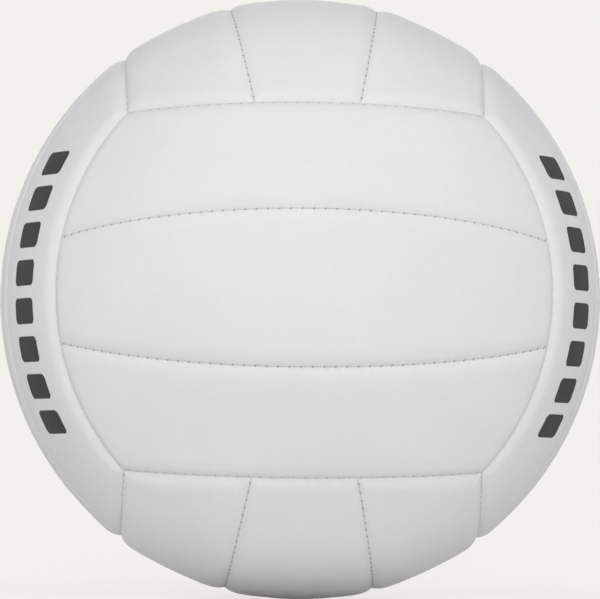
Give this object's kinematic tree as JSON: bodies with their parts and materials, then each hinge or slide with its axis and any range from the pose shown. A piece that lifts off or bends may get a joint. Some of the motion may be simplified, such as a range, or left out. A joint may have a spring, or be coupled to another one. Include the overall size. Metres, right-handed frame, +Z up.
{
  "type": "volleyball",
  "caption": "Sewn white volleyball of padded strips in crossed groups, over an air bladder with a needle valve.",
  "frame": {"origin": "centre of the ball", "axes": "+Z up, -Y towards the viewer of the picture, +X to the viewer's right, +Y out through the valve"},
  "size_m": [0.21, 0.2099, 0.21],
  "materials": {
    "cover": "matte white soft-touch synthetic leather",
    "foam": "pale soft foam",
    "backing": "plain woven cloth",
    "thread": "grey waxed thread",
    "bladder": "smooth black butyl rubber",
    "valve_housing": "moulded grey rubber",
    "valve_core": "soft black rubber",
    "valve_patch": "rubber-coated cloth"
  },
  "bodies": {
    "ball": {"front_middle_cover": "cover", "front_upper_cover": "cover", "front_lower_cover": "cover", "back_middle_cover": "cover", "back_upper_cover": "cover", "back_lower_cover": "cover", "top_middle_cover": "cover", "top_left_cover": "cover", "top_right_cover": "cover", "bottom_middle_cover": "cover", "bottom_left_cover": "cover", "bottom_right_cover": "cover", "left_middle_cover": "cover", "left_front_cover": "cover", "left_rear_cover": "cover", "right_middle_cover": "cover", "right_front_cover": "cover", "right_rear_cover": "cover", "front_middle_foam": "foam", "front_upper_foam": "foam", "front_lower_foam": "foam", "back_middle_foam": "foam", "back_upper_foam": "foam", "back_lower_foam": "foam", "top_middle_foam": "foam", "top_left_foam": "foam", "top_right_foam": "foam", "bottom_middle_foam": "foam", "bottom_left_foam": "foam", "bottom_right_foam": "foam", "left_middle_foam": "foam", "left_front_foam": "foam", "left_rear_foam": "foam", "right_middle_foam": "foam", "right_front_foam": "foam", "right_rear_foam": "foam", "front_middle_backing": "backing", "front_upper_backing": "backing", "front_lower_backing": "backing", "back_middle_backing": "backing", "back_upper_backing": "backing", "back_lower_backing": "backing", "top_middle_backing": "backing", "top_left_backing": "backing", "top_right_backing": "backing", "bottom_middle_backing": "backing", "bottom_left_backing": "backing", "bottom_right_backing": "backing", "left_middle_backing": "backing", "left_front_backing": "backing", "left_rear_backing": "backing", "right_middle_backing": "backing", "right_front_backing": "backing", "right_rear_backing": "backing", "strip_seam_threads": "thread", "edge_seam_threads": "thread", "bladder": "bladder", "valve_housing": "valve_housing", "valve_patch": "valve_patch"},
    "valve_core": {"valve_core": "valve_core"}
  },
  "joints": [
    {"name": "valve_core_pull", "type": "slide", "parent": "ball", "child": "valve_core", "axis": [0, 1, 0], "range_m": [0, 0.03]}
  ]
}
